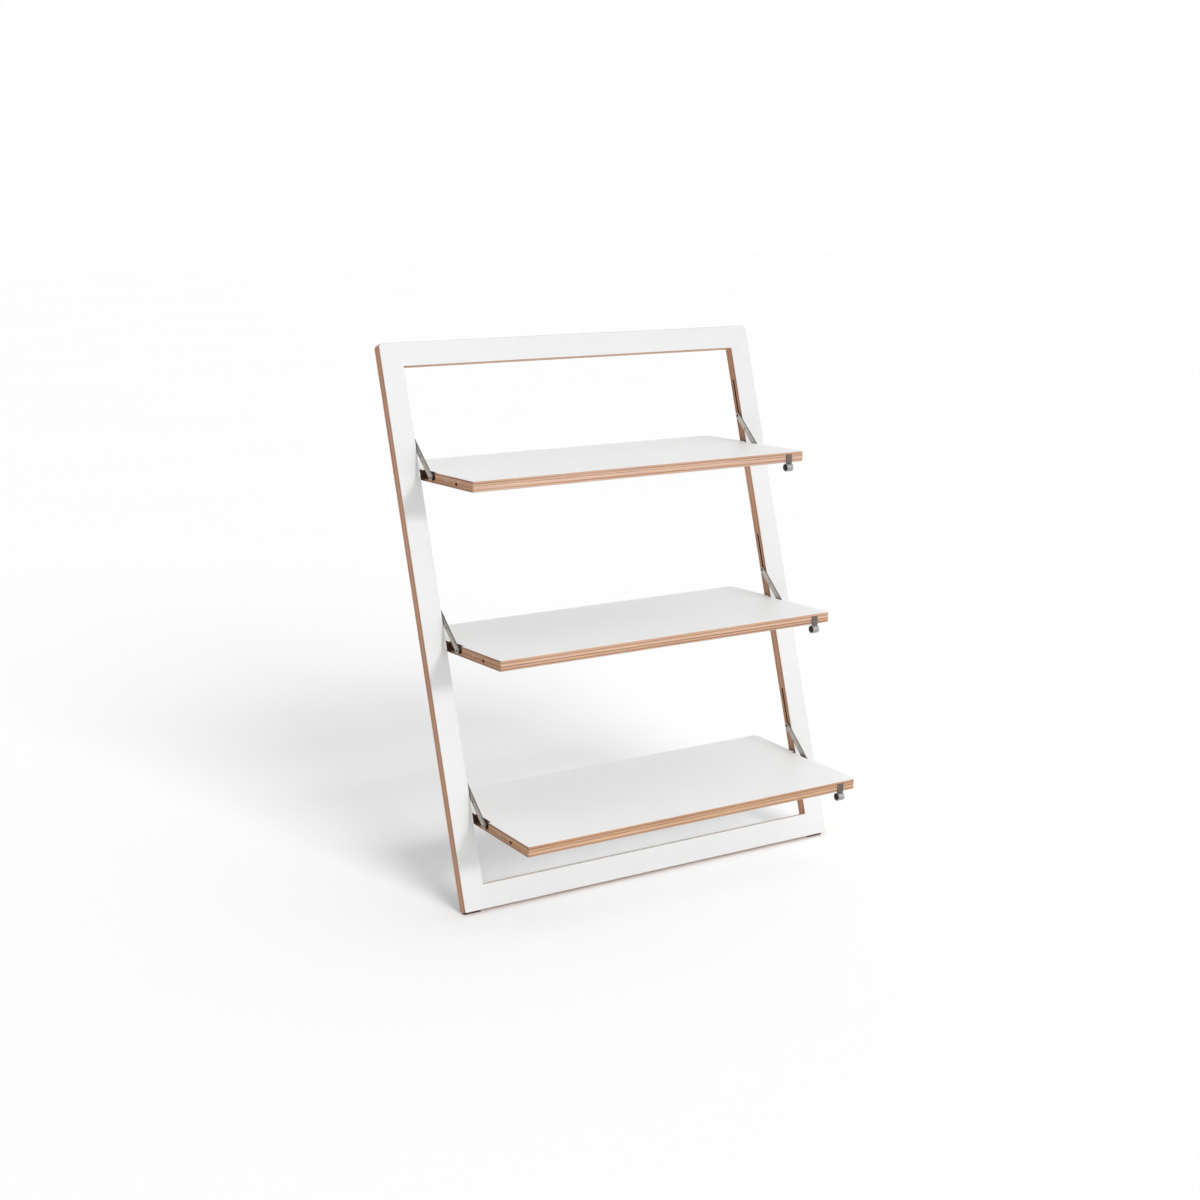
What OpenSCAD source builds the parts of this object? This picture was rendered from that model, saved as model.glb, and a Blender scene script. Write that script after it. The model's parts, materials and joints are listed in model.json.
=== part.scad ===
// Leaning shelf: one birch-plywood panel cut into a frame and three fold-flat shelves.
// The frame leans back on a wall. Each shelf turns on two pivot pins in the stiles and is
// carried by two flat steel struts whose guide pins slide in slots in the stiles.
// Millimetres. +Z is up, the shelves face -Y, the wall is at +Y.
// The origin is on the floor, at the middle of the whole object's footprint.
// The top shelf's back edge is the part that meets the wall.

/* [Panel] */
// Width of the frame
frame_w = 800; // [600:10:1000]
// Length of the frame, measured along the leaning panel
frame_h = 1000; // [930:10:1200]
// Width of the stiles and rails
rail_w = 42.5; // [36:0.5:60]
// Angle by which the frame leans back from upright
lean = 15.85; // [10:0.05:20]
// Thickness of the plywood core
core_t = 17.6; // [15:0.1:22]
// Thickness of the white film on each face
film_t = 0.7; // [0.5:0.1:1]
// Width of the bare bevel where the film stops short of a cut edge
edge_ease = 0.4; // [0.2:0.1:0.8]
// Radius of the frame's upper corners
upper_r = 8; // [4:1:20]
// Radius of the frame's lower corners
lower_r = 3; // [2:0.5:8]
// Radius of the window's corners
window_r = 2; // [1.5:0.5:6]

/* [Shelves] */
// Saw gap between panels, and between a panel and a rail
panel_gap = 3; // [2.6:0.1:4]
// Reach of a shelf in front of its pivot axis
front_reach = 188.5; // [175:0.5:200]
// Radius of a shelf's front corners
front_r = 3; // [2:0.5:6]
// Radius of a shelf's back corners
back_r = 12; // [6:1:20]
// Angle by which the lowest shelf hangs lower at its front
low_droop = 3; // [0:0.5:4]

/* [Struts] */
// Distance from a shelf's pivot axis forward to its strut posts
post_reach = 45; // [40:0.5:52]
// Height of a guide pin above the pivot axis, along the stile, when a shelf is level
guide_rise = 59.5; // [55:0.5:66]
// Width of a strut
strut_w = 10; // [9:0.5:12]
// Thickness of a strut
strut_t = 3; // [2:0.1:4]
// Air on each side of a strut, between the stile and the shelf
strut_play = 0.5; // [0.5:0.1:1]
// Distance from a strut's guide end to its holding hole
hold_from_guide = 33.7; // [25:0.1:40]
// Diameter of a strut's holding hole
hold_d = 4; // [2.5:0.1:4.5]
// Diameter of the rivet at a strut's guide end
rivet_d = 4.5; // [3.5:0.1:6]
// Height of the rivet's head above the strut
rivet_crown = 0.2; // [0.1:0.05:0.3]
// Diameter of the rivet's head
rivet_head_d = 6; // [5:0.1:7]
// Diameter of a guide pin
guide_d = 4; // [2.5:0.1:4.5]
// Air around a guide pin in its slot
guide_play = 0.1; // [0.05:0.01:0.2]
// Air between a guide pin's end and its strut
guide_end_play = 0.3; // [0.2:0.05:0.4]
// Depth of a slot in the stile's inner edge
slot_depth = 12; // [8:0.5:20]

/* [Strut posts and pockets] */
// Diameter of the journal that a strut turns on
journal_d = 5; // [4:0.1:6]
// Air around a journal
journal_play = 0.05; // [0.02:0.01:0.1]
// Diameter of a post's shoulder
shoulder_d = 8; // [7:0.1:10]
// Air between a post's shoulder and its strut
shoulder_play = 0.1; // [0.05:0.01:0.2]
// Depth of a post's shank in the plywood
shank_depth = 16; // [10:1:30]
// Depth of the pocket in a shelf's side edge
pocket_depth = 5; // [3:0.5:8]
// Plywood left between the pocket and the pivot axis
pocket_back = 8; // [7:0.5:12]
// Distance from the post's axis forward to the pocket's end
pocket_front = 11; // [8:0.5:15]
// Depth of the pocket below the middle of the plywood
pocket_drop = 5; // [4.5:0.1:6]
// Radius of the pocket's lower corners
pocket_r = 3; // [1:0.5:4]

/* [Pivots] */
// Diameter of a pivot pin
pivot_d = 6; // [5:0.1:8]
// Depth of a pivot pin in the shelf
pivot_in_shelf = 22; // [15:1:35]
// Depth of a pivot pin in its bush
pivot_in_bush = 12; // [8:0.5:16]
// Outer diameter of a pivot bush
bush_d = 10; // [9.5:0.1:12]
// Length of a pivot bush
bush_len = 14; // [13:0.5:20]
// Air around a pivot pin in its bush
pivot_play = 0.05; // [0.02:0.01:0.1]
// Diameter of the collar that keeps a shelf off the stile
collar_d = 12; // [11:0.5:14]
// Air between a collar and the stile
collar_play = 0.4; // [0.3:0.05:0.5]

/* [Shelf side fittings] */
// Diameter of a ball catch's sleeve
catch_d = 4; // [4:0.1:6]
// Depth of a ball catch in the shelf
catch_depth = 7; // [5:0.5:12]
// Diameter of a catch's ball
catch_ball_d = 3; // [2:0.1:3.2]
// Height of a catch's ball above the shelf's side edge
catch_rise = 0.3; // [0.1:0.05:0.4]
// Distance from the pivot axis forward to the drilled hole in the side edge
edge_hole_at = 131; // [110:1:160]
// Distance of that hole below the middle of the plywood
edge_hole_below = 2; // [0:0.1:4]
// Diameter of the drilled hole in the side edge
edge_hole_d = 4.5; // [3:0.5:6]
// Depth of the drilled hole in the side edge
edge_hole_depth = 9; // [5:1:20]

/* [Pulls] */
// Distance from a shelf's right end to the middle of its pull
pull_from_end = 34; // [25:0.5:60]
// Width of a pull's plate
plate_w = 13; // [11:0.5:18]
// Thickness of a pull's plate
plate_t = 1.5; // [1:0.1:1.8]
// Height of a plate's top above the middle of the plywood
plate_rise = 5; // [4:0.1:7]
// Radius of a plate's top corners
plate_r = 1.5; // [0.5:0.1:3]
// Diameter of a pull's barrel
barrel_d = 15; // [12:0.5:18]
// Length of a pull's barrel
barrel_len = 13; // [11:0.5:24]
// Distance from a plate's middle to its barrel's middle, away from the shelf's right end
barrel_shift = 1.8; // [0:0.1:4]
// Air between the shelf's underside and a pull's barrel
barrel_drop = 1.6; // [1:0.1:4]
// Wall of a pull's barrel
barrel_wall = 1.3; // [1:0.1:2.5]
// Height of the cap's dome in front of the barrel's end
dome_rise = 3.7; // [0.5:0.1:4.5]
// Width of the cap's flat rim round its dome
dome_rim = 0.3; // [0.1:0.1:1]
// Length of the cap inside the barrel
plug_len = 6; // [4:0.5:9]
// Diameter of the pull's screw
screw_d = 3.5; // [3:0.1:4]
// Diameter of the screw's head
screw_head_d = 7; // [6:0.1:8]
// Height of the screw's head above the plate
screw_crown = 0.5; // [0.3:0.1:0.6]
// Depth of the screw in the plywood
screw_len = 18; // [12:1:30]
// Empty hole beyond the screw's tip
screw_tip_play = 1; // [0.5:0.1:3]
// Distance of the screw below the middle of the plywood
screw_below = 1.5; // [0:0.1:3]
// Width across the flats of the screw's socket
socket_w = 2.5; // [2:0.1:3]

/* [Feet] */
// Length of a foot along the rail
foot_len = 32; // [20:1:60]
// Distance from the frame's end to a foot
foot_inset = 4; // [2:1:40]
// Height of a foot where it is thinnest
foot_t = 1.5; // [1:0.1:3]
// Distance from the frame's front face to a foot
foot_setback = 9; // [4:0.5:12]
// Radius of a foot's corners
foot_r = 1.5; // [0.5:0.5:2.5]

/* [Hidden] */
$fn = 64;

// Shelves are counted from the floor: 0 bottom, 1 middle, 2 top.
SHELVES = 3;
BOTTOM = 0;
MIDDLE = 1;
TOP = SHELVES - 1;
LEFT = -1;
RIGHT = 1;
PLY = "burlywood";
FILM = "white";
STEEL = "silver";
// Overshoot of a cutting shape, so that no face is shared with what it cuts
over = 1;
// Radial air of a fixed pin in its hole
seat_play = 0.01;

// The panel: film, core, film
board_t = core_t + 2 * film_t;
window_w = frame_w - 2 * rail_w;
window_h = frame_h - 2 * rail_w;
panel_pitch = (window_h - panel_gap) / SHELVES;
shelf_depth = panel_pitch - panel_gap;
back_reach = shelf_depth - front_reach;
side_gap = strut_t + 2 * strut_play;
shelf_w = window_w - 2 * side_gap;
strut_outer = window_w / 2 - strut_play;
strut_inner = strut_outer - strut_t;

// The linkage: the strut joins the post on the shelf to the guide pin in the stile
function droop(i) = i == BOTTOM ? low_droop : 0;
strut_len = sqrt(post_reach ^ 2 + guide_rise ^ 2 + 2 * post_reach * guide_rise * sin(lean));
guide_closed = post_reach + strut_len;
// The ball catches meet the struts' holding holes when a shelf is folded
catch_at = guide_closed - hold_from_guide;
// Height of the guide pin above the pivot axis, along the stile, with the shelf open
function guide_open(i) =
  let (fold = 90 + lean + droop(i))
  post_reach * cos(fold) + sqrt(strut_len ^ 2 - (post_reach * sin(fold)) ^ 2);

// Heights of the pivot axes along the panel, and their places in the room
function pivot_v(i) = rail_w + panel_gap + back_reach + i * panel_pitch;
base_z = foot_t + board_t * sin(lean);
function on_board_y(v, depth) = v * sin(lean) + depth * cos(lean);
function on_board_z(v, depth) = base_z + v * cos(lean) - depth * sin(lean);

// The pull hangs below the shelf's front edge, near its right end
pull_x = shelf_w / 2 - pull_from_end;
barrel_below = board_t / 2 + barrel_drop + barrel_d / 2;
barrel_reach = front_reach + plate_t / 2;

// The footprint: from the lowest pull's barrel to the top shelf's back edge or the frame's top
back_y = max(on_board_y(pivot_v(TOP), board_t / 2) + back_reach, on_board_y(frame_h, board_t));
front_y = on_board_y(pivot_v(BOTTOM), board_t / 2) - barrel_reach * cos(low_droop)
  + barrel_below * sin(low_droop) - barrel_d / 2;
shift_y = -(back_y + front_y) / 2;
pivot_depth = board_t / 2;
function pivot_y(i) = shift_y + on_board_y(pivot_v(i), pivot_depth);
function pivot_z(i) = on_board_z(pivot_v(i), pivot_depth);

// The slant of a strut, measured back from upright
function post_y(i) = pivot_y(i) - post_reach * cos(droop(i));
function post_z(i) = pivot_z(i) - post_reach * sin(droop(i));
function guide_y(i) = pivot_y(i) + guide_open(i) * sin(lean);
function guide_z(i) = pivot_z(i) + guide_open(i) * cos(lean);
function strut_slant(i) = atan2(guide_y(i) - post_y(i), guide_z(i) - post_z(i));

// Places a flat-drawn board shape: x across, y along the panel, z out of its front face.
module on_frame() {
  translate([0, shift_y, base_z])
    rotate([90 - lean, 0, 0])
      children();
}

// Places a shape drawn round a shelf's pivot axis: y to the back, z up.
module on_shelf(i) {
  translate([0, pivot_y(i), pivot_z(i)])
    rotate([droop(i), 0, 0])
      children();
}

// Places a shape drawn along a strut: z from its post to its guide pin.
module on_strut(i) {
  translate([0, post_y(i), post_z(i)])
    rotate([-strut_slant(i), 0, 0])
      children();
}

// A rod along X from x0 to x1, at the given side of the object
module rod_x(side, x0, x1, d) {
  translate([side * x0, 0, 0])
    rotate([0, side * 90, 0])
      cylinder(h = x1 - x0, d = d);
}

// A rectangle from (x0, y0) to (x1, y1) with one radius at each end in y
module rounded_rect(x0, y0, x1, y1, r_low, r_high) {
  difference() {
    translate([x0, y0])
      square([x1 - x0, y1 - y0]);
    corner_cut(x0, y0, r_low, 1, 1);
    corner_cut(x1, y0, r_low, -1, 1);
    corner_cut(x0, y1, r_high, 1, -1);
    corner_cut(x1, y1, r_high, -1, -1);
  }
}

// What a corner at (x, y) loses when it is rounded; dx and dy point into the shape
module corner_cut(x, y, r, dx, dy) {
  if (r > 0)
    translate([x + dx * r, y + dy * r])
      difference() {
        translate([dx > 0 ? -r - over : 0, dy > 0 ? -r - over : 0])
          square([r + over, r + over]);
        circle(r = r);
      }
}

// The frame's outline with its window; inset draws the film's smaller outline
module frame_outline(inset) {
  difference() {
    rounded_rect(inset - frame_w / 2, inset, frame_w / 2 - inset, frame_h - inset,
      lower_r - inset, upper_r - inset);
    rounded_rect(-window_w / 2 - inset, rail_w - inset, window_w / 2 + inset,
      frame_h - rail_w + inset, window_r, window_r);
  }
}

// A slot in a stile's inner edge, for one guide pin's travel
module guide_slot(i, side) {
  low = pivot_v(i) + guide_open(i);
  high = pivot_v(i) + guide_closed;
  r = guide_d / 2 + guide_play;
  translate([0, 0, -pivot_depth]) {
    for (v = [low, high])
      translate([0, v, 0])
        rod_x(side, window_w / 2 - over, window_w / 2 + slot_depth, 2 * r);
    translate([side > 0 ? window_w / 2 - over : -window_w / 2 - slot_depth, low, -r])
      cube([slot_depth + over, high - low, 2 * r]);
  }
}

module frame_core() {
  color(PLY)
    on_frame()
      difference() {
        translate([0, 0, -film_t - core_t])
          linear_extrude(core_t)
            frame_outline(0);
        for (i = [0 : SHELVES - 1], side = [LEFT, RIGHT]) {
          guide_slot(i, side);
          translate([0, pivot_v(i), -pivot_depth])
            rod_x(side, window_w / 2 - over, window_w / 2 + bush_len, bush_d + 2 * seat_play);
        }
      }
}

// A film sheet whose lower face is at the given depth
module frame_film(z) {
  color(FILM)
    on_frame()
      translate([0, 0, z])
        linear_extrude(film_t)
          frame_outline(edge_ease);
}

// The six plastic bushes that the shelves turn in
module pivot_bushes() {
  color("dimgray")
    on_frame()
      for (i = [0 : SHELVES - 1], side = [LEFT, RIGHT])
        translate([0, pivot_v(i), -pivot_depth])
          difference() {
            rod_x(side, window_w / 2, window_w / 2 + bush_len, bush_d);
            rod_x(side, window_w / 2 - over, window_w / 2 + bush_len - over, pivot_d + 2 * pivot_play);
          }
}

// A rubber wedge under the bottom rail, flat on the floor
module foot(side) {
  x0 = side > 0 ? frame_w / 2 - foot_inset - foot_len : foot_inset - frame_w / 2;
  color("black")
    difference() {
      translate([0, shift_y, 0])
        linear_extrude(foot_t + board_t)
          rounded_rect(x0, foot_setback, x0 + foot_len, board_t * cos(lean) - edge_ease, foot_r, foot_r);
      on_frame()
        translate([-frame_w, 0, -2 * board_t])
          cube([2 * frame_w, frame_h, 4 * board_t]);
    }
}

// A shelf's outline seen from above: y grows to the back
module shelf_outline(inset) {
  rounded_rect(inset - shelf_w / 2, inset - front_reach, shelf_w / 2 - inset, back_reach - inset,
    front_r, back_r - inset);
}

// The pocket round a strut post, cut in from one side edge and open at the top
module pocket(side, depth) {
  low = -pocket_drop;
  high = board_t / 2 + over;
  translate([side > 0 ? shelf_w / 2 - depth : -shelf_w / 2 - over, 0, 0])
    rotate([90, 0, 90])
      linear_extrude(depth + over)
        rounded_rect(-post_reach - pocket_front, low, -pocket_back, high, pocket_r, 0);
}

module shelf_core(i) {
  color(PLY)
    on_shelf(i)
      difference() {
        translate([0, 0, -core_t / 2])
          linear_extrude(core_t)
            shelf_outline(0);
        for (side = [LEFT, RIGHT]) {
          pocket(side, pocket_depth);
          rod_x(side, shelf_w / 2 - pivot_in_shelf, shelf_w / 2 + over, pivot_d + 2 * seat_play);
          translate([0, -post_reach, 0])
            rod_x(side, shelf_w / 2 - pocket_depth - shank_depth, shelf_w / 2, journal_d + 2 * seat_play);
          translate([0, -catch_at, 0])
            rod_x(side, shelf_w / 2 - catch_depth, shelf_w / 2 + over, catch_d + 2 * seat_play);
          translate([0, -edge_hole_at, -edge_hole_below])
            rod_x(side, shelf_w / 2 - edge_hole_depth, shelf_w / 2 + over, edge_hole_d);
        }
        translate([pull_x, -front_reach - over, -screw_below])
          rotate([-90, 0, 0])
            cylinder(h = over + screw_len + screw_tip_play, d = screw_d + 2 * seat_play);
      }
}

module shelf_film(i, z) {
  color(FILM)
    on_shelf(i)
      difference() {
        translate([0, 0, z])
          linear_extrude(film_t)
            shelf_outline(edge_ease);
        for (side = [LEFT, RIGHT])
          pocket(side, pocket_depth + edge_ease);
      }
}

// The steel pins that a shelf turns on, each with a collar in the side gap
module pivot_pins(i) {
  color(STEEL)
    on_shelf(i)
      for (side = [LEFT, RIGHT]) {
        rod_x(side, shelf_w / 2 - pivot_in_shelf, window_w / 2 + pivot_in_bush, pivot_d);
        rod_x(side, shelf_w / 2, window_w / 2 - collar_play, collar_d);
      }
}

// The shouldered posts that carry the struts' lower ends
module strut_posts(i) {
  floor_x = shelf_w / 2 - pocket_depth;
  color(STEEL)
    on_shelf(i)
      for (side = [LEFT, RIGHT])
        translate([0, -post_reach, 0]) {
          rod_x(side, floor_x - shank_depth, strut_outer, journal_d);
          rod_x(side, floor_x, strut_inner - shoulder_play, shoulder_d);
        }
}

// The ball catches in a shelf's side edges, which meet the struts' holding holes when it is folded
module ball_catches(i) {
  color(STEEL)
    on_shelf(i)
      for (side = [LEFT, RIGHT])
        translate([0, -catch_at, 0]) {
          rod_x(side, shelf_w / 2 - catch_depth, shelf_w / 2, catch_d);
          translate([side * (shelf_w / 2 + catch_rise - catch_ball_d / 2), 0, 0])
            sphere(d = catch_ball_d);
        }
}

// A flat steel bar with round ends
module strut(i, side) {
  color(STEEL)
    on_strut(i)
      difference() {
        union() {
          translate([side > 0 ? strut_inner : -strut_outer, -strut_w / 2, 0])
            cube([strut_t, strut_w, strut_len]);
          for (z = [0, strut_len])
            translate([0, 0, z])
              rod_x(side, strut_inner, strut_outer, strut_w);
        }
        rod_x(side, strut_inner - over, strut_outer + over, journal_d + 2 * journal_play);
        translate([0, 0, strut_len - hold_from_guide])
          rod_x(side, strut_inner - over, strut_outer + over, hold_d);
        translate([0, 0, strut_len])
          rod_x(side, strut_inner - over, strut_outer + over, rivet_d + 2 * seat_play);
      }
}

// The flat-headed rivet in a strut's guide end
module strut_rivet(i, side) {
  color("gray")
    on_strut(i)
      translate([0, 0, strut_len]) {
        rod_x(side, strut_inner - rivet_crown, strut_outer, rivet_d);
        rod_x(side, strut_inner - rivet_crown, strut_inner, rivet_head_d);
      }
}

// The pin that slides in the stile's slot
module guide_pin(i, side) {
  color("gray")
    translate([0, guide_y(i), guide_z(i)])
      rod_x(side, strut_outer + guide_end_play, window_w / 2 + slot_depth - guide_end_play, guide_d);
}

// Places a shape drawn round a pull's barrel axis
module on_pull(i) {
  on_shelf(i)
    translate([pull_x, -barrel_reach, -barrel_below])
      children();
}

// The plate on the shelf's front edge, cut to sit on the barrel
module pull_plate(i) {
  rise = barrel_below + plate_rise;
  color("gray")
    on_pull(i)
      difference() {
        translate([0, plate_t / 2, 0])
          rotate([90, 0, 0])
            linear_extrude(plate_t)
              rounded_rect(-plate_w / 2, 0, plate_w / 2, rise, 0, plate_r);
        rotate([0, 90, 0])
          cylinder(h = plate_w + 2 * over, d = barrel_d, center = true);
        translate([0, -plate_t / 2, barrel_below - screw_below])
          screw_shape(0);
      }
}

// A countersunk screw pointing to the back, its plate face at y = 0
module screw_shape(crown) {
  sink = (screw_head_d - screw_d) / 2;
  depth = min(sink, plate_t);
  rotate([-90, 0, 0]) {
    translate([0, 0, -crown])
      cylinder(h = crown, d1 = screw_head_d - 2 * crown, d2 = screw_head_d);
    cylinder(h = depth, d1 = screw_head_d, d2 = screw_head_d - 2 * depth);
    cylinder(h = plate_t, d = screw_d);
  }
}

module pull_screw(i) {
  color("dimgray")
    on_pull(i)
      translate([0, -plate_t / 2, barrel_below - screw_below])
        difference() {
          union() {
            screw_shape(screw_crown);
            rotate([-90, 0, 0])
              cylinder(h = plate_t + screw_len, d = screw_d);
          }
          rotate([-90, 0, 0])
            translate([0, 0, -over])
              cylinder(h = over + plate_t, d = socket_w / cos(30), $fn = 6);
        }
}

// Places a shape drawn round a barrel's axis from its open left end: z to the left
module on_barrel_end(i) {
  on_pull(i)
    translate([-barrel_shift - barrel_len / 2, 0, 0])
      rotate([0, -90, 0])
        children();
}

// The round barrel that a finger pulls
module pull_barrel(i) {
  color(STEEL)
    on_barrel_end(i)
      difference() {
        translate([0, 0, -barrel_len])
          cylinder(h = barrel_len, d = barrel_d);
        translate([0, 0, barrel_wall - barrel_len])
          cylinder(h = barrel_len + over, d = barrel_d - 2 * barrel_wall);
      }
}

// The black plug in the barrel's open end, with a domed face
module pull_cap(i) {
  r = barrel_d / 2 - barrel_wall - seat_play;
  ball_r = ((r - dome_rim) ^ 2 + dome_rise ^ 2) / (2 * dome_rise);
  color("black")
    on_barrel_end(i) {
      translate([0, 0, -plug_len])
        cylinder(h = plug_len, r = r);
      intersection() {
        cylinder(h = dome_rise + over, r = ball_r + over);
        translate([0, 0, dome_rise - ball_r])
          sphere(r = ball_r);
      }
    }
}

frame_core();
frame_film(-film_t);  // frame_front_film
frame_film(-board_t);  // frame_back_film
pivot_bushes();
foot(LEFT);  // foot_left
foot(RIGHT);  // foot_right
shelf_core(TOP);  // shelf_top_core
shelf_film(TOP, core_t / 2);  // shelf_top_upper_film
shelf_film(TOP, -board_t / 2);  // shelf_top_lower_film
pivot_pins(TOP);  // shelf_top_pivot_pins
strut_posts(TOP);  // shelf_top_strut_posts
ball_catches(TOP);  // shelf_top_ball_catches
strut(TOP, LEFT);  // strut_top_left
strut(TOP, RIGHT);  // strut_top_right
strut_rivet(TOP, LEFT);  // strut_rivet_top_left
strut_rivet(TOP, RIGHT);  // strut_rivet_top_right
guide_pin(TOP, LEFT);  // guide_pin_top_left
guide_pin(TOP, RIGHT);  // guide_pin_top_right
pull_plate(TOP);  // pull_top_plate
pull_barrel(TOP);  // pull_top_barrel
pull_cap(TOP);  // pull_top_cap
pull_screw(TOP);  // pull_top_screw
shelf_core(MIDDLE);  // shelf_middle_core
shelf_film(MIDDLE, core_t / 2);  // shelf_middle_upper_film
shelf_film(MIDDLE, -board_t / 2);  // shelf_middle_lower_film
pivot_pins(MIDDLE);  // shelf_middle_pivot_pins
strut_posts(MIDDLE);  // shelf_middle_strut_posts
ball_catches(MIDDLE);  // shelf_middle_ball_catches
strut(MIDDLE, LEFT);  // strut_middle_left
strut(MIDDLE, RIGHT);  // strut_middle_right
strut_rivet(MIDDLE, LEFT);  // strut_rivet_middle_left
strut_rivet(MIDDLE, RIGHT);  // strut_rivet_middle_right
guide_pin(MIDDLE, LEFT);  // guide_pin_middle_left
guide_pin(MIDDLE, RIGHT);  // guide_pin_middle_right
pull_plate(MIDDLE);  // pull_middle_plate
pull_barrel(MIDDLE);  // pull_middle_barrel
pull_cap(MIDDLE);  // pull_middle_cap
pull_screw(MIDDLE);  // pull_middle_screw
shelf_core(BOTTOM);  // shelf_bottom_core
shelf_film(BOTTOM, core_t / 2);  // shelf_bottom_upper_film
shelf_film(BOTTOM, -board_t / 2);  // shelf_bottom_lower_film
pivot_pins(BOTTOM);  // shelf_bottom_pivot_pins
strut_posts(BOTTOM);  // shelf_bottom_strut_posts
ball_catches(BOTTOM);  // shelf_bottom_ball_catches
strut(BOTTOM, LEFT);  // strut_bottom_left
strut(BOTTOM, RIGHT);  // strut_bottom_right
strut_rivet(BOTTOM, LEFT);  // strut_rivet_bottom_left
strut_rivet(BOTTOM, RIGHT);  // strut_rivet_bottom_right
guide_pin(BOTTOM, LEFT);  // guide_pin_bottom_left
guide_pin(BOTTOM, RIGHT);  // guide_pin_bottom_right
pull_plate(BOTTOM);  // pull_bottom_plate
pull_barrel(BOTTOM);  // pull_bottom_barrel
pull_cap(BOTTOM);  // pull_bottom_cap
pull_screw(BOTTOM);  // pull_bottom_screw
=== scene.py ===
import json
import math

import bpy
from mathutils import Matrix, Vector

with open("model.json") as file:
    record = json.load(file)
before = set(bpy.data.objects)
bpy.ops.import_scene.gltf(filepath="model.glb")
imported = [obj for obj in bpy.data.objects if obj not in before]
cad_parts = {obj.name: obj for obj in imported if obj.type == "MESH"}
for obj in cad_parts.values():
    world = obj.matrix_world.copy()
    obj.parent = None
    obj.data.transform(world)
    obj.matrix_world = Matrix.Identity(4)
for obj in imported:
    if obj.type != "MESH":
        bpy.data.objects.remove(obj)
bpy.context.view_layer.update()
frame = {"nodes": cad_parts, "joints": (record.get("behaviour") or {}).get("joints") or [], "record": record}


def rgb(r, g, b):
    return (r, g, b, 1.0)


def grey(v):
    return rgb(v, v, v)


# Lengths are in metres. Each board has its own coordinates, which start at its pivot in the middle
# of the plywood: x to the right, y back along a shelf or up along the frame, z out of the side that
# faces up or forward.

# Angles of the boards and struts, in radians
LEAN = math.radians(15.85)
DROOP = math.radians(3)
STRUT_SLANT = math.radians(46.9)

# The plywood
CORE = 0.0176
PLIES = 13
PLY = CORE / PLIES

# Half widths of the frame, its window and a shelf
FRAME_HALF = 0.4
WINDOW_HALF = 0.3575
SHELF_HALF = 0.3535

# Painted shade darkens the walls of slots, pockets and holes from the first to the second of these depths
SLOT_DEPTHS = (0.0003, 0.0012)
POCKET_DEPTHS = (0.0003, 0.0015)
# Where they lie along the frame's and the shelves' side edges
SLOTS_ALONG = (-0.02, 0.75)
POCKETS_ALONG = (-0.18, 0.02)
# The frame's outer edges have none
OUTER_SKIN = 0.0005
# A pocket's front end, the stretch over which it opens there, and how much less painted shade it gets then
POCKET_FRONT = -0.0575
POCKET_OPENS = (-0.041, -0.046)
LESS_DARK = 0.8
# A shelf's side edges get painted shade to this depth
SIDE_SHADE_DEPTH = 0.003

# The drilled hole in a shelf's side edge: how far ahead of the pivot, and below the middle
HOLE_AHEAD = 0.131
HOLE_BELOW = 0.002
# The painted shade round it: the radii at which it sets in and is full, and how much wider than high it is
HOLE_SHADE_RADII = (0.0046, 0.0034)
HOLE_SHADE_FLATNESS = 1.3
# The painted shade in the corner between a shelf and its stile: where it sets in and is full, from either
# end
CORNER_FRONT = (-0.035, -0.014)
CORNER_BACK = (0.024, 0.012)
# A face is a board's side edge where its normal's x is above this
SIDEWAYS = 0.85
# The bottom rail's upper edge: how far its normal points up the frame, and how far below the pivot
FACES_UP = (0.8, 0.95)
ON_BOTTOM_RAIL = (0.0, -0.05)

# The wood's colours, from its darkest tone to its lightest
WOOD = (
    (0.0, rgb(0.40, 0.215, 0.135)),
    (0.3, rgb(0.55, 0.33, 0.22)),
    (0.6, rgb(0.72, 0.46, 0.325)),
    (1.0, rgb(0.86, 0.61, 0.46)),
)
# How far these shift the tone: the ply, its fibres, a drift along the edge, fibres cut across
PLY_SHIFT = 0.34
GRAIN_SHIFT = 0.7
DRIFT_SHIFT = 0.5
CROSSCUT_SHIFT = -0.1
# How far the plies waver, in plies, and the thin dark ones, as a share of the thickness
PLY_WAVER = 0.5
DARK_PLY_WAVER = 0.06
# Distances from the edge of a ply, in plies: where its glue line fades out, where a gap sets in
GLUE_EDGE = (0.03, 0.12)
GAP_EDGE = (0.08, 0.16)
# Distances from the middle of a thin dark ply, as shares, at which it sets in and is full
DARK_PLY_EDGE = (0.08, 0.02)
# Levels of noise at which these set in and are full: core gaps, darker patches of the dark plies,
# pinker patches of the wood
GAP_STEP = (0.7, 0.72)
PATCH_STEP = (0.3, 0.6)
PINK_STEP = (0.35, 0.65)
# How strong a dark ply is outside its darker patches, and what they add
PATCH_LEAST = 0.5
PATCH_MORE = 0.8
# The tints of the wood outside its pinker patches, and in them
YELLOWER = rgb(1.04, 1.03, 0.90)
PINKER = rgb(0.97, 0.94, 1.0)

# What covers a surface in places, real marks and painted shade alike: how strongly, and its colour
GLUE_LINE = (0.5, rgb(0.30, 0.15, 0.09))
CORE_GAP = (0.85, rgb(0.09, 0.045, 0.03))
# Painted shade inside the slots and pockets
PAINTED_RECESS_SHADE = (0.93, rgb(0.05, 0.021, 0.012))
# Painted shade round a shelf's drilled hole
PAINTED_HOLE_SHADE = (0.95, rgb(0.035, 0.02, 0.012))
# Painted shade in the corner between a shelf and its stile
PAINTED_CORNER_SHADE = (0.92, rgb(0.07, 0.026, 0.016))
RAIL_EDGE_PALE = (0.8, rgb(0.76, 0.73, 0.68))
FILM_RUB = (0.08, rgb(0.70, 0.69, 0.67))
# Painted shade on the struts' narrow faces
STRUT_EDGE_SHADE = (0.65, rgb(0.07, 0.06, 0.05))
DARK_PLY = rgb(0.29, 0.135, 0.075)

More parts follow.
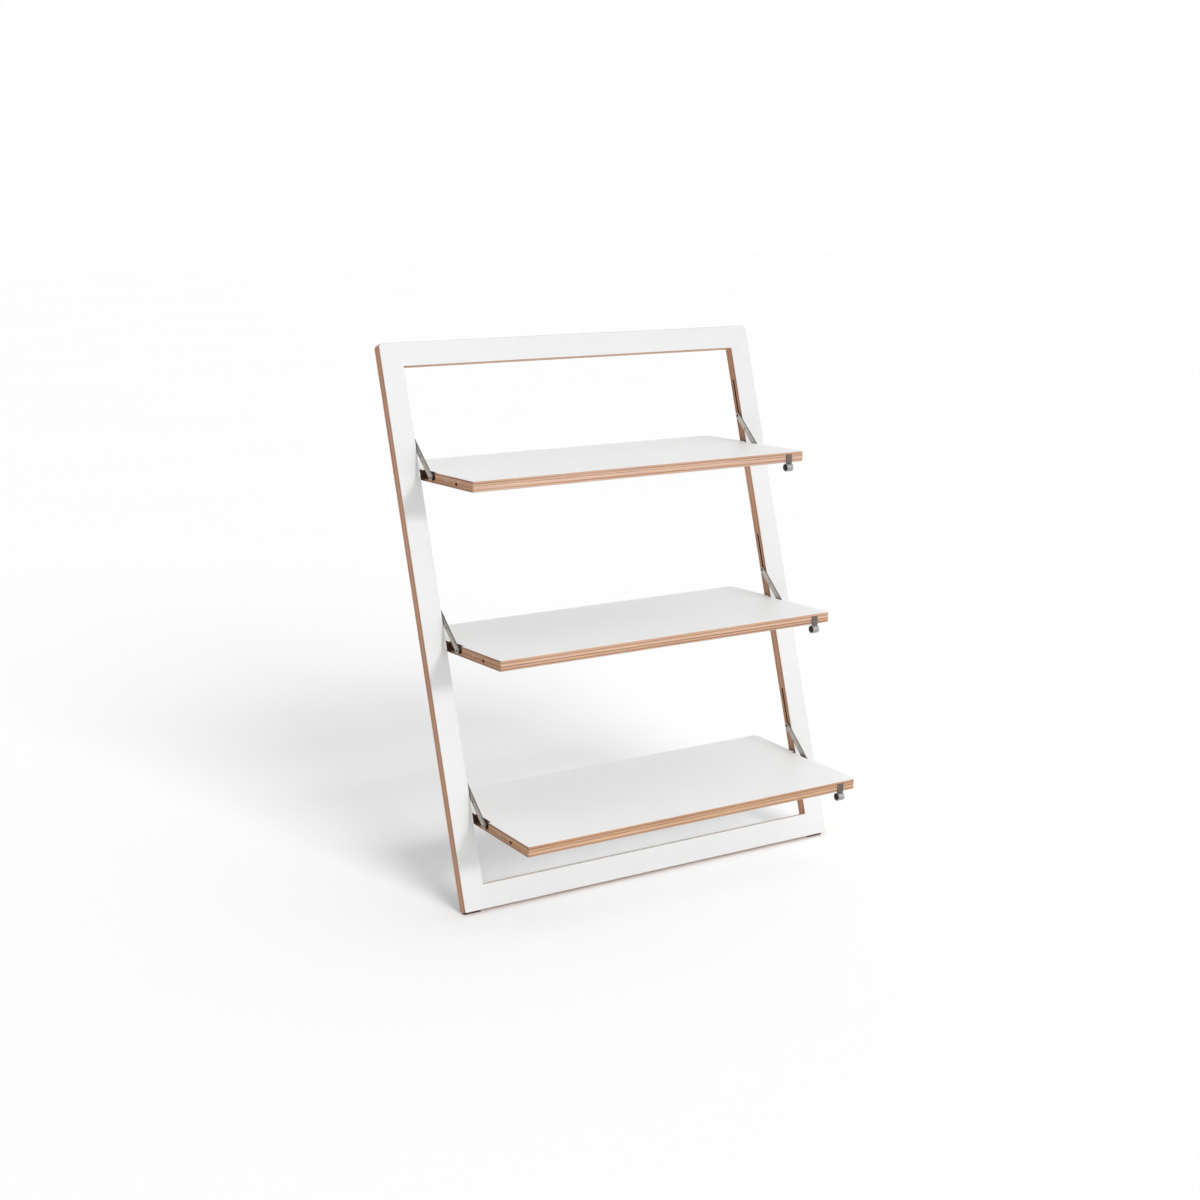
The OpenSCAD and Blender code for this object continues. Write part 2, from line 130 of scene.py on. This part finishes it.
# How the plies' tone runs through the thickness, from the film that faces up or forward to the
# other: (share of the thickness, tone). "side" is for the shelves' side edges.
BANDS = {
    "side": (
        (0.0, 0.6), (0.1, 0.5), (0.22, 1.0), (0.4, 0.95),
        (0.58, 0.5), (0.7, 0.5), (0.85, 0.7), (1.0, 0.5)),
    "frame": (
        (0.0, 0.5), (0.22, 0.3), (0.45, 0.75), (0.7, 0.35), (1.0, 0.55)),
    "top": (
        (0.0, 0.7), (0.2, 0.4), (0.33, 0.85), (0.44, 0.7), (0.58, 1.0), (0.81, 0.4), (1.0, 0.95)),
    "middle": (
        (0.0, 0.8), (0.1, 0.7), (0.24, 0.6), (0.42, 0.95),
        (0.6, 0.3), (0.72, 0.75), (0.85, 0.3), (1.0, 0.6)),
    "bottom": (
        (0.0, 0.8), (0.24, 0.4), (0.39, 0.9), (0.51, 0.6), (0.67, 1.0), (0.88, 0.5), (1.0, 0.65)),
}
# Thin dark plies: (share of the thickness, how dark in the long edges, how dark in the side edges)
DARK_PLIES = {
    "frame": (
        (0.16, 0.3, 0.3), (0.38, 0.35, 0.35), (0.62, 0.3, 0.3), (0.86, 0.35, 0.35)),
    "top": (
        (0.07, 0.1, 0.85), (0.19, 0.45, 0.0), (0.43, 0.55, 0.3),
        (0.66, 0.2, 0.3), (0.81, 0.45, 0.2), (0.97, 0.0, 0.9)),
    "middle": (
        (0.07, 0.1, 0.85), (0.24, 0.35, 0.2), (0.55, 0.0, 0.6),
        (0.6, 0.6, 0.0), (0.85, 0.5, 0.3), (0.97, 0.0, 0.9)),
    "bottom": (
        (0.1, 0.15, 0.85), (0.23, 0.5, 0.1), (0.5, 0.6, 0.4),
        (0.66, 0.1, 0.3), (0.88, 0.4, 0.2), (0.97, 0.0, 0.7)),
}
# How each board's wood differs from the others: its long edges, then its side edges, whose darker tint is
# partly the wood's own and partly painted shade
TINT_AND_SIDE_SHADE = {
    "frame": (rgb(0.98, 1.03, 1.1), rgb(0.98, 0.89, 0.83)),
    "top": (rgb(0.98, 1.02, 1.08), rgb(0.85, 0.755, 0.68)),
    "middle": (rgb(0.91, 0.92, 0.92), rgb(0.79, 0.69, 0.61)),
    "bottom": (rgb(0.84, 0.81, 0.74), rgb(0.78, 0.71, 0.61)),
}
# How white each board's film is on the side that faces up or forward, as painted light: whiter the lower the
# shelf; and how much its cut edge takes the edge tone, little on the shelves as a painted highlight;
# then the same for every film on the other side
FILMS = {
    "frame": (0.945, 0.65),
    "top": (1.03, 0.15),
    "middle": (1.05, 0.15),
    "bottom": (1.075, 0.15),
}
OTHER_FILMS = (0.93, 0.9)
FILM_WHITES = (rgb(0.842, 0.842, 0.838), rgb(0.878, 0.878, 0.875))
FILM_EDGE_TONE = rgb(0.62, 0.55, 0.48)
OTHER_FILM_EDGE_TONE = rgb(0.30, 0.22, 0.17)

# Turned steel: its dark and its light tone, and how rough each is
TURNED = {
    "pin_steel": (rgb(0.07, 0.05, 0.04), rgb(0.14, 0.105, 0.085), 0.34, 0.5),
    "catch_steel": (rgb(0.36, 0.31, 0.27), rgb(0.54, 0.48, 0.43), 0.2, 0.34),
    "barrel_steel": (rgb(0.25, 0.25, 0.245), rgb(0.46, 0.46, 0.45), 0.3, 0.46),
    "screw_steel": (rgb(0.14, 0.13, 0.12), rgb(0.26, 0.24, 0.22), 0.34, 0.5),
}
# Plastic and rubber: the dark and the light tone, and how rough they are
MOULDED = {
    "cap_plastic": (rgb(0.005, 0.005, 0.005), rgb(0.011, 0.010, 0.009), 0.52),
    "bush_plastic": (rgb(0.035, 0.035, 0.036), rgb(0.06, 0.06, 0.062), 0.5),
    "rubber": (rgb(0.03, 0.022, 0.018), rgb(0.06, 0.045, 0.036), 0.72),
}

# The camera, seen from the lowest shelf's pivot, with its angles in degrees
CAMERA_FROM_PIVOT = Vector((-1.9647, -2.8901, 1.0624))
CAMERA_TURN = 33.028
CAMERA_TILT = -11.56
CAMERA_ROLL = -0.284
LENS_MM = 59.27
SENSOR_MM = 36
SEES_AS_FAR_AS = 200

# The sky's light: what comes from all round, and what grows towards the axis
SKY_EVEN = 0.07
SKY_RISE = 1.25
SKY_AXIS = Vector((0.4, 0.0, 0.9)).normalized()
# How bright the backdrop is that the camera, mirrors and glass show
BACKDROP = 1.0
FLOOR_SIZE = 60


class Nodes:
    """A node tree with short ways to add nodes. An input is a value or another node's output."""

    def __init__(self, tree):
        self.tree = tree

    def put(self, node, name, value):
        socket = node.inputs[name]
        if isinstance(value, bpy.types.NodeSocket):
            self.tree.links.new(value, socket)
        else:
            socket.default_value = value

    def add(self, kind, inputs=(), **properties):
        node = self.tree.nodes.new(kind)
        for name, value in properties.items():
            setattr(node, name, value)
        for name, value in dict(inputs).items():
            self.put(node, name, value)
        return node

    def math(self, operation, a, b=0.0, c=0.0):
        return self.add("ShaderNodeMath", {0: a, 1: b, 2: c}, operation=operation).outputs[0]

    def vector(self, operation, a, b=(0, 0, 0), output="Vector"):
        node = self.add("ShaderNodeVectorMath", {0: a, 1: b}, operation=operation)
        return node.outputs[output]

    def times(self, a, b):
        return self.math("MULTIPLY", a, b)


class Shader(Nodes):
    """A new material's nodes."""

    INPUTS = {
        "base_color": "Base Color", "metallic": "Metallic", "normal": "Normal",
        "roughness": "Roughness", "specular": "Specular IOR Level",
    }

    def __init__(self, name):
        self.material = bpy.data.materials.new(name)
        self.material.use_nodes = True
        super().__init__(self.material.node_tree)
        self.surface = self.tree.nodes["Principled BSDF"]

    def set(self, **values):
        """Sets the surface's inputs by their names in INPUTS."""
        for name, value in values.items():
            self.put(self.surface, self.INPUTS[name], value)

    def between(self, value, low, high):
        """1 between low and high, 0 elsewhere."""
        return self.times(self.math("GREATER_THAN", value, low),
                          self.math("LESS_THAN", value, high))

    def step(self, value, start, full):
        """Rises smoothly from 0 at start to 1 at full, which may be the smaller of the two."""
        node = self.add("ShaderNodeMapRange", {"Value": value, "From Min": start, "From Max": full},
                        interpolation_type="SMOOTHSTEP")
        return node.outputs["Result"]

    def vary(self, value, noise, amount):
        """Shifts a value up and down by half of amount at most, as noise runs from 0 to 1."""
        return self.math("MULTIPLY_ADD", self.math("SUBTRACT", noise, 0.5), amount, value)

    def blend(self, share, a, b):
        """Mixes two numbers."""
        return self.add("ShaderNodeMix", {0: share, 2: a, 3: b}, data_type="FLOAT").outputs[0]

    def mix(self, share, a, b):
        """Mixes two colours."""
        return self.add("ShaderNodeMix", {0: share, 6: a, 7: b}, data_type="RGBA").outputs[2]

    def tint(self, colour, by):
        """Multiplies two colours."""
        node = self.add("ShaderNodeMix", {0: 1.0, 6: colour, 7: by},
                        data_type="RGBA", blend_type="MULTIPLY")
        return node.outputs[2]

    def cover(self, colour, where, strength, by):
        """Covers a colour with another, as strongly as given, where the second input is 1."""
        return self.mix(self.times(where, strength), colour, by)

    def ramp(self, share, stops):
        """A colour for each share from 0 to 1; stops are (share, colour)."""
        node = self.add("ShaderNodeValToRGB", {"Fac": share})
        elements = node.color_ramp.elements
        elements[0].position, elements[0].color = stops[0]
        elements[1].position, elements[1].color = stops[-1]
        for position, colour in stops[1:-1]:
            elements.new(position).color = colour
        return node.outputs["Color"]

    def place(self, origin=(0, 0, 0), tilt=0.0, scale=(1, 1, 1)):
        """Coordinates from origin, turned back by tilt about X, times scale."""
        at = self.add("ShaderNodeTexCoord").outputs["Object"]
        turned = self.turn_back(self.vector("SUBTRACT", at, origin), tilt)
        return self.vector("MULTIPLY", turned, scale)

    def normal(self, tilt):
        """The x, y and z of the surface's direction, turned back by tilt about X."""
        return self.split(self.turn_back(self.add("ShaderNodeTexCoord").outputs["Normal"], tilt))

    def turn_back(self, vector, tilt):
        node = self.add("ShaderNodeMapping", {"Vector": vector, "Rotation": (-tilt, 0, 0)})
        return node.outputs[0]

    def split(self, vector):
        return self.add("ShaderNodeSeparateXYZ", {0: vector}).outputs[:3]

    def join(self, x, y, z):
        return self.add("ShaderNodeCombineXYZ", {0: x, 1: y, 2: z}).outputs[0]

    def noise(self, vector, scale=1.0, detail=2.0, roughness=0.5):
        node = self.add("ShaderNodeTexNoise", {
            "Vector": vector, "Scale": scale, "Detail": detail, "Roughness": roughness})
        return node.outputs["Fac"]

    def streaks(self, run, z, seed, along, through, detail=2.0, roughness=0.5):
        """Noise with one scale along a cut edge and one through it; seed tells it from others."""
        at = self.join(self.times(run, along), self.times(z, through), seed)
        return self.noise(at, detail=detail, roughness=roughness)

    def random(self, number):
        """A value from 0 to 1 that is the same for the same number."""
        node = self.add("ShaderNodeTexWhiteNoise", {"W": number}, noise_dimensions="1D")
        return node.outputs["Value"]

    def bump(self, height, depth, strength):
        """Relief of the given depth."""
        node = self.add("ShaderNodeBump", {
            "Height": height, "Distance": depth, "Strength": strength})
        self.set(normal=node.outputs["Normal"])


def recess_shade_mask(s, name, x, y):
    """Where shade is painted: 1 inside the slots, pockets and holes that are cut into a board's side edges.
    """
    side = s.math("ABSOLUTE", x)
    if name == "frame":
        start, full = (WINDOW_HALF + depth for depth in SLOT_DEPTHS)
        not_outer = s.math("LESS_THAN", side, FRAME_HALF - OUTER_SKIN)
        return s.times(s.times(s.step(side, start, full), not_outer), s.between(y, *SLOTS_ALONG))
    start, full = (SHELF_HALF - depth for depth in POCKET_DEPTHS)
    inside = s.times(s.step(side, start, full), s.between(y, *POCKETS_ALONG))
    open_end = s.times(s.math("GREATER_THAN", y, POCKET_FRONT), s.step(y, *POCKET_OPENS))
    return s.times(inside, s.math("MULTIPLY_ADD", open_end, -LESS_DARK, 1.0))


def shaded_sides(s, wood, y, z):
    """A shelf's side edges: painted shade round the drilled hole and in the corner at the pivot."""
    down = s.math("MULTIPLY_ADD", z, HOLE_SHADE_FLATNESS, HOLE_SHADE_FLATNESS * HOLE_BELOW)
    from_hole = s.join(0.0, s.math("ADD", y, HOLE_AHEAD), down)
    away = s.vector("LENGTH", from_hole, output="Value")
    wood = s.cover(wood, s.step(away, *HOLE_SHADE_RADII), *PAINTED_HOLE_SHADE)
    corner = s.times(s.step(y, *CORNER_FRONT), s.step(y, *CORNER_BACK))
    return s.cover(wood, corner, *PAINTED_CORNER_SHADE)


def plywood(name, origin, tilt):
    """The cut edge of birch plywood: thin plies of turn-about grain, glue lines and core gaps."""
    s = Shader("ply_" + name)
    x, y, z = s.split(s.place(origin, tilt))
    direction = s.normal(tilt)
    # 1 on the board's side edges, 0 on its long ones
    across = s.math("GREATER_THAN", s.math("ABSOLUTE", direction[0]), SIDEWAYS)
    run = s.blend(across, x, y)

    # The plies waver a little; each has a number, and a seed that differs between boards
    wave = s.noise(s.join(run, 0.0, 0.0), 9.0)
    depth = s.vary(s.math("ADD", s.math("DIVIDE", z, PLY), PLIES / 2), wave, PLY_WAVER)
    number = s.math("FLOOR", depth)
    part = s.math("FRACT", depth)
    from_glue = s.math("MINIMUM", part, s.math("SUBTRACT", 1.0, part))
    seed = s.math("ADD", number, len(name) * 17.0)

    # Long fibres show as streaks, fibres cut across as short ticks; plies take turns
    turn = s.math("ABSOLUTE", s.math("SUBTRACT", s.math("MODULO", number, 2.0), across))
    fibres = s.streaks(run, z, seed, along=14.0, through=900.0, detail=4.0, roughness=0.6)
    ticks = s.streaks(run, z, seed, along=900.0, through=500.0, detail=3.0, roughness=0.7)
    grain = s.blend(turn, fibres, ticks)

    # The wood's tone runs through the thickness as on the real boards
    share = s.math("SUBTRACT", 0.5, s.math("DIVIDE", z, CORE))
    long_band, side_band = (
        s.ramp(share, [(at, grey(tone)) for at, tone in BANDS[key]])
        for key in (name, "frame" if name == "frame" else "side"))
    tone = s.vary(s.mix(across, long_band, side_band), s.random(seed), PLY_SHIFT)
    tone = s.vary(tone, grain, GRAIN_SHIFT)
    tone = s.vary(tone, s.streaks(run, z, 3.0, along=7.0, through=120.0), DRIFT_SHIFT)
    tone = s.math("MULTIPLY_ADD", turn, CROSSCUT_SHIFT, tone)
    wood = s.ramp(tone, WOOD)

    glue = s.math("SUBTRACT", 1.0, s.step(from_glue, *GLUE_EDGE))
    wood = s.cover(wood, glue, *GLUE_LINE)
    wavering = s.vary(share, wave, DARK_PLY_WAVER)
    for at, in_long, in_side in DARK_PLIES[name]:
        away = s.math("ABSOLUTE", s.math("SUBTRACT", wavering, at))
        patches = s.noise(s.join(s.times(run, 5.0), at * 40.0, 9.0), detail=3.0)
        patchy = s.math("MULTIPLY_ADD", s.step(patches, *PATCH_STEP), PATCH_MORE, PATCH_LEAST)
        strength = s.times(s.blend(across, in_long, in_side), patchy)
        wood = s.cover(wood, s.step(away, *DARK_PLY_EDGE), strength, DARK_PLY)

    # Each board's tint; on the side edges it is partly painted shade
    wood = s.tint(wood, s.mix(across, *TINT_AND_SIDE_SHADE[name]))
    hue = s.streaks(run, z, 11.0, along=12.0, through=420.0)
    wood = s.tint(wood, s.mix(s.step(hue, *PINK_STEP), YELLOWER, PINKER))

    if name == "frame":
        # The bottom rail's upper edge is covered with pale grey
        on_rail = s.times(s.step(direction[1], *FACES_UP), s.step(y, *ON_BOTTOM_RAIL))
        wood = s.cover(wood, on_rail, *RAIL_EDGE_PALE)
    else:
        # Painted shade round the drilled hole and in the corner at the pivot
        by_side = s.math("GREATER_THAN", s.math("ABSOLUTE", x), SHELF_HALF - SIDE_SHADE_DEPTH)
        wood = s.mix(by_side, wood, shaded_sides(s, wood, y, z))
    # Painted shade in the slots and pockets
    wood = s.cover(wood, recess_shade_mask(s, name, x, y), *PAINTED_RECESS_SHADE)

    # Core gaps are short, and lie in the plies that are cut across
    gaps = s.noise(s.join(s.times(run, 28.0), seed, 5.0), detail=1.0)
    gap = s.times(s.times(s.step(gaps, *GAP_STEP), turn), s.step(from_glue, *GAP_EDGE))
    wood = s.cover(wood, gap, *CORE_GAP)

    s.set(base_color=wood, specular=0.22, roughness=s.blend(grain, 0.62, 0.46))
    hollows = s.math("ADD", gap, s.times(glue, 0.3))
    s.bump(s.math("SUBTRACT", s.times(grain, 0.5), hollows), depth=0.0002, strength=0.5)
    return s.material


def film(name, origin, tilt):
    """Satin white film with a fine pebble, faint marks of use and a bare cut edge; each board's whiteness
    and the paleness of a shelf's upper cut edge are painted light.
    """
    s = Shader("film_" + name)
    whiteness, edge_share = FILMS[name]
    other_whiteness, other_edge_share = OTHER_FILMS
    at = s.place(origin, tilt)
    x, y, z = s.split(at)
    pebble = s.noise(at, 850.0, detail=3.0, roughness=0.6)
    cloud = s.noise(at, 7.0, detail=3.0)
    strokes = s.noise(s.join(x, s.times(y, 9.0), 2.0), 26.0, detail=4.0, roughness=0.65)
    rub = s.step(strokes, 0.62, 0.78)

    front = s.math("GREATER_THAN", z, 0.0)
    # Painted light: the film is whiter the lower its shelf
    white = s.tint(s.mix(cloud, *FILM_WHITES), s.mix(front, grey(other_whiteness), grey(whiteness)))
    white = s.cover(white, rub, *FILM_RUB)
    cut = s.math("LESS_THAN", s.math("ABSOLUTE", s.normal(tilt)[2]), 0.5)
    back = s.math("LESS_THAN", z, 0.0)
    # A shelf's upper cut edge stays pale as a painted highlight
    white = s.cover(white, cut, s.blend(back, edge_share, other_edge_share),
                    s.mix(back, FILM_EDGE_TONE, OTHER_FILM_EDGE_TONE))

    rough = s.math("MULTIPLY_ADD", rub, 0.10, s.blend(cloud, 0.36, 0.46))
    s.set(base_color=white, roughness=rough, specular=0.4)
    s.bump(pebble, depth=0.00004, strength=0.35)
    return s.material


def brushed_bar():
    """Stainless bar, brushed along its length, with a few handling marks and painted shade on its narrow
    faces.
    """
    s = Shader("strut_steel")
    along = s.place(tilt=-STRUT_SLANT, scale=(1, 1, 0.03))
    lines = s.noise(along, 4200.0, detail=4.0, roughness=0.7)
    marks = s.step(s.noise(s.place(), 55.0, detail=3.0), 0.55, 0.8)
    steel = s.ramp(lines, [(0.25, rgb(0.39, 0.37, 0.33)), (0.75, rgb(0.60, 0.57, 0.52))])
    steel = s.mix(marks, steel, rgb(0.33, 0.30, 0.26))
    # Painted shade on the bar's narrow faces
    narrow_faces = s.math("LESS_THAN", s.math("ABSOLUTE", s.normal(0.0)[0]), 0.5)
    steel = s.cover(steel, narrow_faces, *STRUT_EDGE_SHADE)
    s.set(base_color=steel, metallic=1.0, roughness=s.blend(lines, 0.30, 0.46))
    s.bump(lines, depth=0.00003, strength=0.4)
    return s.material


def turned(name, dark, light, dark_rough, light_rough):
    """Lathe-turned steel: fine rings round the X axis."""
    s = Shader(name)
    rings = s.noise(s.place(scale=(1, 0.02, 0.02)), 5200.0, detail=3.0, roughness=0.7)
    soil = s.step(s.noise(s.place(), 160.0), 0.6, 0.85)
    steel = s.mix(soil, s.ramp(rings, [(0.25, dark), (0.75, light)]), dark)
    s.set(base_color=steel, metallic=1.0, roughness=s.blend(rings, dark_rough, light_rough))
    s.bump(rings, depth=0.00002, strength=0.4)
    return s.material


def dull_plate():
    """Pressed steel plate, dull and mottled."""
    s = Shader("plate_steel")
    mottle = s.noise(s.place(), 900.0, detail=4.0, roughness=0.65)
    lines = s.noise(s.place(scale=(1, 1, 0.05)), 3000.0)
    steel = s.ramp(mottle, [(0.3, rgb(0.11, 0.09, 0.08)), (0.7, rgb(0.22, 0.195, 0.18))])
    s.set(base_color=steel, metallic=0.85, roughness=s.blend(lines, 0.42, 0.58))
    s.bump(mottle, depth=0.00004, strength=0.5)
    return s.material


def moulded(name, dark, light, rough):
    """Moulded plastic or rubber with a fine matt grain."""
    s = Shader(name)
    grain = s.noise(s.place(), 2600.0, detail=3.0, roughness=0.6)
    s.set(base_color=s.mix(s.noise(s.place(), 120.0), dark, light), specular=0.4,
          roughness=s.blend(grain, rough - 0.06, rough + 0.08))
    s.bump(grain, depth=0.00004, strength=0.5)
    return s.material


def floor_finish():
    """A plain pale floor with the faintest mottling."""
    s = Shader("floor_finish")
    cloud = s.noise(s.place(), 0.8, detail=3.0)
    s.set(base_color=s.mix(cloud, grey(0.745), grey(0.755)), roughness=0.9, specular=0.1)
    return s.material


def pivot(level):
    """A shelf's pivot: a point on its mid-plane and on the frame's."""
    return Vector(next(j["pos_m"] for j in frame["joints"] if j["name"] == f"shelf_{level}_fold"))


def boards():
    """Each board's name with its origin and its tilt about X."""
    yield "frame", pivot("bottom"), math.pi / 2 - LEAN
    yield "top", pivot("top"), 0.0
    yield "middle", pivot("middle"), 0.0
    yield "bottom", pivot("bottom"), DROOP


def board_of(node):
    """The board that a film lies on."""
    return next((level for level in ("top", "middle", "bottom") if f"_{level}_" in node), "frame")


def dress():
    """Gives every CAD node its material."""
    finishes = {"strut_steel": brushed_bar(), "plate_steel": dull_plate()}
    finishes |= {name: turned(name, *look) for name, look in TURNED.items()}
    finishes |= {name: moulded(name, *look) for name, look in MOULDED.items()}
    for name, origin, tilt in boards():
        finishes["ply_" + name] = plywood(name, origin, tilt)
        finishes["film_" + name] = film(name, origin, tilt)
    for part in frame["record"]["subparts"]:
        node, finish = part["node"], part["material_slot"]
        if finish == "film":
            finish = "film_" + board_of(node)
        for material_slot in frame["nodes"][node].material_slots:
            material_slot.material = finishes[finish]


def add_object(name, data):
    thing = bpy.data.objects.new(name, data)
    bpy.context.scene.collection.objects.link(thing)
    return thing


def floor():
    """A wide plain floor, which isn't part of the object."""
    half = FLOOR_SIZE / 2
    mesh = bpy.data.meshes.new("floor")
    corners = [(-half, -half, 0), (half, -half, 0), (half, half, 0), (-half, half, 0)]
    mesh.from_pydata(corners, [], [(0, 1, 2, 3)])
    mesh.materials.append(floor_finish())
    ground = add_object("floor", mesh)
    return ground


def sky():
    """Soft light from all round; the camera, mirrors and glass see a plain backdrop instead."""
    world = bpy.data.worlds.new("studio")
    bpy.context.scene.world = world
    world.use_nodes = True
    s = Nodes(world.node_tree)
    s.tree.nodes.clear()
    ray = s.add("ShaderNodeTexCoord").outputs["Generated"]
    rise = s.math("MAXIMUM", s.vector("DOT_PRODUCT", ray, SKY_AXIS, output="Value"), 0.0)
    strength = s.math("MULTIPLY_ADD", rise, SKY_RISE, SKY_EVEN)
    lit, seen = (
        s.add("ShaderNodeBackground", {"Color": grey(1.0), "Strength": power}).outputs[0]
        for power in (strength, BACKDROP))
    path = s.add("ShaderNodeLightPath").outputs
    seen_by = s.math("MAXIMUM", path["Is Camera Ray"], path["Is Glossy Ray"])
    seen_by = s.math("MAXIMUM", seen_by, path["Is Transmission Ray"])
    choice = s.add("ShaderNodeMixShader", {0: seen_by, 1: lit, 2: seen}).outputs[0]
    s.add("ShaderNodeOutputWorld", {0: choice})


def light_only(lamp, receivers):
    """Lets a lamp light nothing but its receivers."""
    lit = bpy.data.collections.new(lamp.name + "_lit")
    for thing in receivers:
        lit.objects.link(thing)
    lamp.light_linking.receiver_collection = lit


def softbox(name, azimuth, elevation, spread, irradiance, receivers):
    """A far soft lamp in front, azimuth degrees to the right, that lights only its receivers."""
    a, e = math.radians(azimuth), math.radians(elevation)
    out = Vector((math.sin(a) * math.cos(e), -math.cos(a) * math.cos(e), math.sin(e)))
    light = bpy.data.lights.new(name, "SUN")
    light.angle = math.radians(spread)
    light.energy = irradiance * math.pi
    lamp = add_object(name, light)
    lamp.rotation_euler = out.to_track_quat("Z", "Y").to_euler()
    light_only(lamp, receivers)


def panel_lamp(name, power, size, at, tilt, receivers):
    """A soft panel of so many watts that lights only its receivers.

    At a tilt of 0 degrees it points down, at 90 to the back.
    """
    light = bpy.data.lights.new(name, "AREA")
    light.shape = "RECTANGLE"
    light.size, light.size_y = size
    light.energy = power
    lamp = add_object(name, light)
    lamp.location = at
    lamp.rotation_euler = (math.radians(tilt), 0, 0)
    lamp.visible_camera = False
    lamp.visible_glossy = False
    light_only(lamp, receivers)


def camera():
    """The photograph's camera."""
    az, el, roll = (math.radians(v) for v in (CAMERA_TURN, CAMERA_TILT, CAMERA_ROLL))
    ahead = Vector((math.sin(az) * math.cos(el), math.cos(az) * math.cos(el), math.sin(el)))
    level = Vector((math.cos(az), -math.sin(az), 0))
    above = level.cross(ahead)
    right = math.cos(roll) * level + math.sin(roll) * above
    up = right.cross(ahead)
    lens = bpy.data.cameras.new("camera")
    lens.lens = LENS_MM
    lens.sensor_width = SENSOR_MM
    lens.sensor_fit = "HORIZONTAL"
    lens.clip_end = SEES_AS_FAR_AS
    eye = add_object("camera", lens)
    turn = Matrix((right, up, -ahead)).transposed()
    eye.matrix_world = Matrix.Translation(pivot("bottom") + CAMERA_FROM_PIVOT) @ turn.to_4x4()
    bpy.context.scene.camera = eye


dress()
ground = floor()
sky()
nodes = frame["nodes"].values()
softbox("key", azimuth=20, elevation=20, spread=9, irradiance=0.24, receivers=nodes)
softbox("floor_key", azimuth=-3.3, elevation=29, spread=27, irradiance=1.0, receivers=[ground])
# Low in front, for the boards that the shelves above keep dark
panel_lamp("low_fill", power=3.7, size=(2.4, 0.5), at=(-0.3, -1.7, 0.35), tilt=86, receivers=nodes)
# Under the lowest shelf, for the light that is thrown back to the floor there
panel_lamp("floor_bounce", power=0.19, size=(0.66, 0.22), at=(0.03, pivot("bottom").y + 0.03, 0.1),
           tilt=0, receivers=[ground])
camera()
bpy.context.scene.view_settings.view_transform = "Standard"
